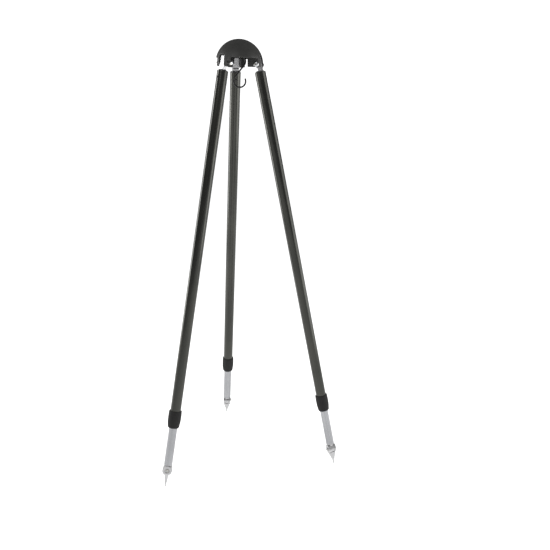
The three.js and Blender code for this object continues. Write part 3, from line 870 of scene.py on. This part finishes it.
def hook_line(spacing, step=1.2):
    """Two bowls, one over the other, and the straight tangent between them."""
    r = HOOK_BOWL_RADIUS
    half = spacing / 2
    leave = math.acos(r / half) - math.pi / 2
    straight = math.hypot(r * math.cos(leave), half + r * math.sin(leave))
    arc = r * (math.pi + HOOK_TIP_ANGLE - leave)
    count = round((straight + arc) / step)
    upper = []
    for i in range(count + 1):
        along = (straight + arc) * i / count
        if along < straight:
            upper.append(Vector((along * math.sin(-leave), 0, along * math.cos(leave))))
        else:
            angle = leave + (along - straight) / r
            upper.append(Vector((r * math.cos(angle), 0, half + r * math.sin(angle))))
    lower = [-point for point in upper[:0:-1]]
    return lower + upper


def s_hook():
    low, high, _ = measured("s_hook", HEAD)
    spacing = high - low - 2 * (HOOK_BOWL_RADIUS + HOOK_WIRE_RADIUS)
    return shifted(sweep(hook_line(spacing), HOOK_WIRE_RADIUS), z=(low + high) / 2)


def make_head():
    hook_axis = joints["hook_swing"]["axis"]
    hanging = place(ball_centre, (0, 0, 1), hook_axis)
    finished("head_dome", head_dome(), HEAD)
    finished("crown_cap", crown_cap(), HEAD)
    finished("swivel_eye", swivel_eye(), hanging @ Matrix.Rotation(math.radians(90), 4, "Z"))
    bottom, top, radius = measured("swivel_nut", HEAD)
    finished("swivel_nut", hexagon_nut(radius, EYE_SHANK_RADIUS + GAP, bottom, top), HEAD)
    finished("s_hook", s_hook(), hanging)


def make_pivots():
    where = pivot_place(1)
    low, end, head_radius = measured("pivot_bolt_1", where)
    washer_size = measured("pivot_washer_1", where)
    nut_size = measured("pivot_nut_1", where)
    bolt = button_bolt(
        BOLT_RADIUS,
        head_radius,
        BOLT_HEAD_HEIGHT,
        low + BOLT_HEAD_HEIGHT,
        end,
        BOLT_SOCKET_RADIUS,
        nut_size[0] - 2 * BOLT_PITCH,
        BOLT_PITCH,
    )
    ring = washer(washer_size[2], BOLT_RADIUS + GAP, *washer_size[:2])
    nut = hexagon_nut(nut_size[2], BOLT_RADIUS + GAP, *nut_size[:2])
    for number in LEGS:
        finished(f"pivot_bolt_{number}", bolt, pivot_place(number))
        finished(f"pivot_washer_{number}", ring, pivot_place(number))
        finished(f"pivot_nut_{number}", nut, pivot_place(number))


# ---------------------------------------------------------------- leg

def leg_plug():
    """A round-cornered tongue and its neck, over a cap on the tube and a spigot in it."""
    bottom, top, _ = measured("leg_plug_1", leg_place(1))
    _, tube_top, tube_radius = measured("upper_tube_1", leg_place(1))
    spigot = tube_radius - UPPER_WALL - SLIP
    body = revolve([
        (0, bottom),
        (spigot - SPIGOT_TAPER, bottom),
        (spigot, bottom + SPIGOT_LEAD),
        (spigot, tube_top),
        (CAP_RADIUS, tube_top),
        (CAP_RADIUS, CAP_TOP - CAP_CHAMFER),
        (CAP_RADIUS - CAP_CHAMFER, CAP_TOP),
        (0, CAP_TOP),
    ])
    outline = [(NECK_INNER, CAP_TOP - 1), (TONGUE_OUTER, CAP_TOP - 1)]
    steps = 8
    for centre, start in ((TONGUE_OUTER - TONGUE_CORNER, 0), (TONGUE_INNER + TONGUE_CORNER, 90)):
        for step in range(steps + 1):
            angle = math.radians(start + step * 90 / steps)
            x = centre + TONGUE_CORNER * math.cos(angle)
            outline.append((x, top - TONGUE_CORNER + TONGUE_CORNER * math.sin(angle)))
    outline.append((TONGUE_INNER, NECK_TOP))
    outline.append((NECK_INNER, NECK_TOP + TONGUE_INNER - NECK_INNER))
    tongue = plate(outline, SLOT_HALF_WIDTH - GAP)
    pivot_hole = across(rod(BUSH_RADIUS + GAP, -tube_radius, tube_radius))
    return cast(joined("DIFFERENCE", joined("UNION", body, tongue), pivot_hole), voxel=0.5)


def plug_pin():
    """A pin whose low rivet heads sit on the tube."""
    tube_radius = measured("upper_tube_1", leg_place(1))[2]
    seat = tube_radius - PIN_HEAD_INSET
    head = [
        (PLUG_PIN_RADIUS, seat),
        (PLUG_PIN_RADIUS + 0.9, seat),
        (PLUG_PIN_RADIUS + 0.7, seat + 0.5),
        (0.5 * PLUG_PIN_RADIUS, seat + 0.9),
    ]
    lower = [(radius, -height) for radius, height in reversed(head)]
    return revolve(soften([(0, -seat - 1), *lower, *head, (0, seat + 1)], 0.25), 32)


def upper_tube():
    bottom, top, radius = measured("upper_tube_1", leg_place(1))
    inner = radius - UPPER_WALL
    wall = [(inner, bottom), (radius, bottom), (radius, top), (inner, top)]
    return revolve(supported(soften(wall, 0.4)), 96)


def collar_seat():
    """A sleeve in the upper tube, with a flange under its end and a thin neck below."""
    bottom, top, radius = measured("collar_seat_1", leg_place(1))
    tube_bottom, _, tube_radius = measured("upper_tube_1", leg_place(1))
    lower_radius = measured("lower_tube_1", leg_place(1))[2]
    inner = lower_radius + GAP
    flange_start = bottom + SEAT_FLANGE_START
    return revolve(soften([
        (inner, bottom),
        (inner + SEAT_NECK_WALL, bottom),
        (inner + SEAT_NECK_WALL, flange_start),
        (radius, flange_start),
        (radius, tube_bottom - GAP),
        (tube_radius - UPPER_WALL - GAP, tube_bottom - GAP),
        (tube_radius - UPPER_WALL - GAP, top),
        (inner, top),
    ], 0.3), 72)


def clamp_collet():
    """A slit cone that the collar squeezes onto the lower tube."""
    bottom, top, radius = measured("clamp_collet_1", leg_place(1))
    inner = measured("lower_tube_1", leg_place(1))[2] + GAP
    wall = [(inner, bottom), (radius - COLLET_TAPER, bottom), (radius, top), (inner, top)]
    cone = revolve(soften(wall, 0.3), 72)
    slit = block((0, radius + 5), (-COLLET_SLIT / 2, COLLET_SLIT / 2), (bottom - 1, top + 1))
    return joined("DIFFERENCE", cone, slit)


def lock_collar():
    """The bullet-shaped grip: ribs round its body, a plain flared rim and a groove near its mouth."""
    bottom, top, radius = measured("lock_collar_1", leg_place(1))
    tube_radius = measured("upper_tube_1", leg_place(1))[2]
    lower_radius = measured("lower_tube_1", leg_place(1))[2]
    seat_bottom, _, seat_radius = measured("collar_seat_1", leg_place(1))
    outer = [
        (radius - COLLAR_MOUTH_INSET, bottom),
        (radius - COLLAR_LIP_INSET, bottom + COLLAR_LIP),
        (radius - COLLAR_CONE_INSET, bottom + COLLAR_CONE),
        (radius, bottom + COLLAR_SHOULDER),
        (radius, top - COLLAR_BAND),
        (radius - COLLAR_TOP_INSET, top),
    ]
    chamber = seat_radius + 2 * GAP
    inner = [
        (tube_radius + GAP, top),
        (tube_radius + GAP, top - CHAMBER_DEPTH),
        (chamber, top - CHAMBER_DEPTH),
        (chamber, seat_bottom),
        (lower_radius + 2.8, bottom + COLLAR_FLOOR),
        (lower_radius + GAP, bottom + COLLAR_FLOOR),
        (lower_radius + GAP, bottom),
    ]
    rib_start = bottom + COLLAR_RIB_START
    rib_end = top - COLLAR_RIB_MARGIN
    fade = COLLAR_RIB_FADE

    def shape(reach, height, angle):
        inside = chamber + 0.1 if height > bottom + COLLAR_CONE + 2 else radius - 1.9
        if reach < inside or height > top - 1:
            return reach
        ends = min((height - rib_start) / fade, (rib_end - height) / fade, 1)
        rib = max(ends, 0) * COLLAR_RIB_DEPTH * (0.5 + 0.5 * math.cos(COLLAR_RIBS * angle)) ** 2
        from_groove = (height - rib_start + COLLAR_GROOVE_BELOW_RIBS) / COLLAR_GROOVE_WIDTH
        groove = COLLAR_GROOVE_DEPTH * math.exp(-from_groove ** 2)
        return reach - groove + rib - 0.5 * COLLAR_RIB_DEPTH * max(ends, 0)

    return revolve(curved(outer, 14) + supported(soften(inner, 0.4)), 240, shape)


def guide_bush():
    """A bush on the lower tube's top end, with a wide head that slides in the upper tube."""
    bottom, top, radius = measured("guide_bush_1", leg_place(1))
    _, lower_top, lower_radius = measured("lower_tube_1", leg_place(1))
    shank = lower_radius - LOWER_WALL - GAP
    return revolve(soften([
        (GUIDE_BORE, bottom),
        (shank, bottom),
        (shank, lower_top + GAP),
        (radius, lower_top + GAP),
        (radius, top),
        (GUIDE_BORE, top),
    ], 0.5), 72)


def lower_tube():
    """A tube with round-bottomed flutes along it."""
    bottom, top, radius = measured("lower_tube_1", lower_place(1))
    inner = radius - LOWER_WALL

    def shape(reach, height, angle):
        if reach < radius - 0.7:
            return reach
        spacing = 2 * math.pi / FLUTES
        off_centre = abs((angle + spacing / 2) % spacing - spacing / 2)
        across_flute = min(off_centre / (1.25 * FLUTE_HALF_ANGLE), 1)
        return reach - FLUTE_DEPTH * (0.5 + 0.5 * math.cos(math.pi * across_flute)) ** 0.6

    wall = [(inner, bottom), (radius, bottom), (radius, top), (inner, top)]
    return revolve(supported(soften(wall, 0.3)), 192, shape)


def tube_end_eye():
    """A spigot and flange for the tube's end, over a round eye for the shoe's bolt."""
    low, top, _ = measured("tube_end_eye_1", ankle_place(1))
    tube_bottom, _, tube_radius = measured("lower_tube_1", ankle_place(1))
    flange_end = tube_bottom - EYE_FLANGE_REACH
    flange = tube_radius - 0.2
    spigot = tube_radius - LOWER_WALL - GAP
    eye_radius = -low
    body = revolve([
        (0, flange_end),
        (flange, flange_end),
        (flange, tube_bottom - GAP),
        (spigot, tube_bottom - GAP),
        (spigot, top),
        (0, top),
    ])
    disc = across(rod(eye_radius, -EYE_HALF_WIDTH, EYE_HALF_WIDTH))
    sides = (-EYE_HALF_WIDTH, EYE_HALF_WIDTH)
    neck = block((-EYE_NECK_HALF, EYE_NECK_HALF), sides, (0, flange_end + 0.5))
    hole = across(rod(FOOT_BOLT_RADIUS + GAP, -SHOE_HALF_WIDTH, SHOE_HALF_WIDTH))
    return cast(joined("DIFFERENCE", joined("UNION", body, disc, neck), hole), voxel=0.45)


def foot_shoe():
    """A fork with round cheeks, which narrows both ways to a blade."""
    bottom = measured("foot_shoe_1", ankle_place(1))[0]
    side = [
        (-BLADE_END_HALF, bottom),
        (BLADE_END_HALF, bottom),
        (BLADE_WAIST_HALF, BLADE_WAIST),
        (0.8 * SHOE_RADIUS, -0.6 * SHOE_RADIUS),
        (-0.8 * SHOE_RADIUS, -0.6 * SHOE_RADIUS),
        (-BLADE_WAIST_HALF, BLADE_WAIST),
    ]
    top = SHOE_RADIUS + 1
    front = [
        (-BLADE_END_HALF, bottom),
        (BLADE_END_HALF, bottom),
        (SHOE_HALF_WIDTH + 1, BLADE_TOP + 2),
        (SHOE_HALF_WIDTH + 1, top),
        (-SHOE_HALF_WIDTH - 1, top),
        (-SHOE_HALF_WIDTH - 1, BLADE_TOP + 2),
    ]
    cheeks = across(rod(SHOE_RADIUS, -SHOE_HALF_WIDTH, SHOE_HALF_WIDTH))
    taper = turned_by(plate(front, SHOE_RADIUS + 1), math.radians(90))
    fork = EYE_HALF_WIDTH + GAP
    round_seat = across(rod(SHOE_RADIUS + 0.2, -fork, fork))
    bolt_hole = across(rod(FOOT_BOLT_RADIUS + GAP, -SHOE_RADIUS, SHOE_RADIUS))
    pocket = across(rod(FOOT_POCKET_RADIUS, FOOT_POCKET_FLOOR, SHOE_HALF_WIDTH + 1))
    spike_hole = rod(SPIKE_SHANK_RADIUS + GAP, bottom - 1, bottom + SPIKE_HOLE_DEPTH)
    body = joined("UNION", plate(side, SHOE_HALF_WIDTH - 0.1), cheeks)
    body = joined("INTERSECT", body, taper)
    body = joined("DIFFERENCE", body, round_seat, bolt_hole, pocket, spike_hole)
    return cast(body, voxel=0.45)


def foot_spike(number):
    """A ground pin whose tip is trimmed level with the floor."""
    where = ankle_place(number)
    low, top, _ = measured(f"foot_spike_{number}", where)
    shoe_bottom = measured(f"foot_shoe_{number}", where)[0]
    outline = soften([
        (0, low - 1),
        (SPIKE_TIP_RADIUS, low - 1),
        (SPIKE_RADIUS, shoe_bottom - GAP),
        (SPIKE_SHANK_RADIUS, shoe_bottom - GAP),
        (SPIKE_SHANK_RADIUS, top),
        (0, top),
    ], 0.25)
    mesh = revolve(supported(outline, 0.6, 2), 40)
    shell = bmesh.new()
    shell.from_mesh(mesh)
    floor = where.inverted() @ Vector((where.translation.x, where.translation.y, 0))
    upwards = where.inverted().to_3x3() @ Vector((0, 0, 1))
    everything = shell.verts[:] + shell.edges[:] + shell.faces[:]
    bmesh.ops.bisect_plane(shell, geom=everything, plane_co=floor, plane_no=upwards, clear_inner=True)
    rim = [edge for edge in shell.edges if edge.is_boundary]
    bmesh.ops.contextual_create(shell, geom=rim)
    shell.to_mesh(mesh)
    shell.free()
    return mesh


def make_legs():
    plug = leg_plug()
    bush_size = measured("pivot_bush_1", pivot_place(1))
    bush = washer(bush_size[2], BOLT_RADIUS + GAP, *bush_size[:2])
    pin = plug_pin()
    for_leg = {
        "leg_plug": plug,
        "upper_tube": upper_tube(),
        "collar_seat": collar_seat(),
        "clamp_collet": clamp_collet(),
        "lock_collar": lock_collar(),
        "guide_bush": guide_bush(),
    }
    tube = lower_tube()
    eye = tube_end_eye()
    shoe = foot_shoe()
    bolt_low, bolt_end, bolt_head = measured("foot_bolt_1", cross_place(ankle_place(1)))
    nut_size = measured("foot_nut_1", cross_place(ankle_place(1)))
    bolt = button_bolt(
        FOOT_BOLT_RADIUS,
        bolt_head,
        FOOT_HEAD_HEIGHT,
        bolt_low + FOOT_HEAD_HEIGHT,
        bolt_end,
        0.55 * bolt_head,
        nut_size[0] - 2 * FOOT_PITCH,
        FOOT_PITCH,
    )
    nut = hexagon_nut(nut_size[2], FOOT_BOLT_RADIUS + GAP, *nut_size[:2])
    for number in LEGS:
        leg = leg_place(number)
        for name, mesh in for_leg.items():
            finished(f"{name}_{number}", mesh, leg)
        finished(f"pivot_bush_{number}", bush, pivot_place(number))
        low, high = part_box(f"plug_pin_{number}")
        pin_height = (leg.inverted() @ ((low + high) / 2)).z
        pin_place = leg @ Matrix.Translation((0, 0, pin_height)) @ Matrix.Rotation(math.pi / 2, 4, "Y")
        finished(f"plug_pin_{number}", pin, pin_place)
        ankle = ankle_place(number)
        finished(f"lower_tube_{number}", tube, lower_place(number))
        finished(f"tube_end_eye_{number}", eye, ankle)
        finished(f"foot_shoe_{number}", shoe, ankle)
        finished(f"foot_bolt_{number}", bolt, cross_place(ankle))
        finished(f"foot_nut_{number}", nut, cross_place(ankle))
        finished(f"foot_spike_{number}", foot_spike(number), ankle)


# ---------------------------------------------------------------- camera, floor and light

# The camera stands in front of the tripod and to its left, about as high as its shoulders, and looks
# down a little past its right side. Angles are in degrees; turns are clockwise from +Y.
CAMERA_DISTANCE = 1.987
CAMERA_SIDE = 10.87
CAMERA_HEIGHT = 1.0721
CAMERA_TURN = 17.42
CAMERA_PITCH = 14.67
CAMERA_ROLL = 1.17
CAMERA_LENS = 46.68
CAMERA_SHIFT = (-0.0827, 0.0032)

# The floor is in metres. The room is dimmer where a glossy surface sees it.
FLOOR_HALF_WIDTH = 60
FLOOR_WHITE = (0.95, 0.95, 0.95, 1)
ROOM_STRENGTH = 1.25
ROOM_IN_GLOSS = 0.2


def make_camera():
    data = bpy.data.cameras.new("camera")
    data.sensor_width = 36
    data.lens = CAMERA_LENS
    data.shift_x, data.shift_y = CAMERA_SHIFT
    camera = bpy.data.objects.new("camera", data)
    side = math.radians(CAMERA_SIDE)
    stand = Vector((axis_point.x, axis_point.y, CAMERA_HEIGHT))
    stand -= CAMERA_DISTANCE * Vector((math.sin(side), math.cos(side), 0))
    turn = Matrix.Rotation(math.radians(-CAMERA_TURN), 4, "Z")
    pitch = Matrix.Rotation(math.radians(90 - CAMERA_PITCH), 4, "X")
    roll = Matrix.Rotation(math.radians(CAMERA_ROLL), 4, "Z")
    camera.matrix_world = Matrix.Translation(stand) @ turn @ pitch @ roll
    bpy.context.scene.collection.objects.link(camera)
    bpy.context.scene.camera = camera


def make_floor():
    """A wide, plain, nearly white floor."""
    half = FLOOR_HALF_WIDTH
    mesh = bpy.data.meshes.new("floor")
    corners = [(-half, -half, 0), (half, -half, 0), (half, half, 0), (-half, half, 0)]
    mesh.from_pydata(corners, [], [(0, 1, 2, 3)])
    material = bpy.data.materials.new("pale_floor")
    material.use_nodes = True
    shader = material.node_tree.nodes["Principled BSDF"]
    shader.inputs["Base Color"].default_value = FLOOR_WHITE
    shader.inputs["Roughness"].default_value = 0.9
    mesh.materials.append(material)
    floor = bpy.data.objects.new("floor", mesh)
    bpy.context.scene.collection.objects.link(floor)


def make_world():
    """A pale room that polished metal sees as dimmer than the floor."""
    world = bpy.data.worlds.new("studio")
    world.use_nodes = True
    tree = world.node_tree
    background = tree.nodes["Background"]
    path = grow(tree, "LightPath")
    glossy = path.outputs["Is Glossy Ray"]
    inputs = {"Value": glossy, "To Min": ROOM_STRENGTH, "To Max": ROOM_IN_GLOSS}
    strength = grow(tree, "MapRange", inputs)
    background.inputs["Color"].default_value = (1, 1, 1, 1)
    tree.links.new(strength.outputs["Result"], background.inputs["Strength"])
    bpy.context.scene.world = world


def make_light(name, spot, width, height, power):
    """A softbox that looks at the tripod's middle. Sizes are in metres and power in watts."""
    data = bpy.data.lights.new(name, "AREA")
    data.shape = "RECTANGLE"
    data.size = width
    data.size_y = height
    data.energy = power
    light = bpy.data.objects.new(name, data)
    light.location = spot
    middle = Vector((axis_point.x, axis_point.y, axis_point.z / 2))
    light.rotation_mode = "QUATERNION"
    light.rotation_quaternion = (middle - Vector(spot)).to_track_quat("-Z", "Y")
    bpy.context.scene.collection.objects.link(light)


make_camera()
make_floor()
make_world()
make_light("key", spot=(-1.6, -1.8, 2.6), width=1.0, height=1.0, power=16)
make_light("left_box", spot=(-1.3, 0.55, 0.95), width=0.5, height=1.5, power=18)
make_light("right_box", spot=(1.4, -0.6, 0.95), width=1.3, height=1.5, power=17)
bpy.context.scene.view_settings.view_transform = "Standard"

make_head()
make_pivots()
make_legs()
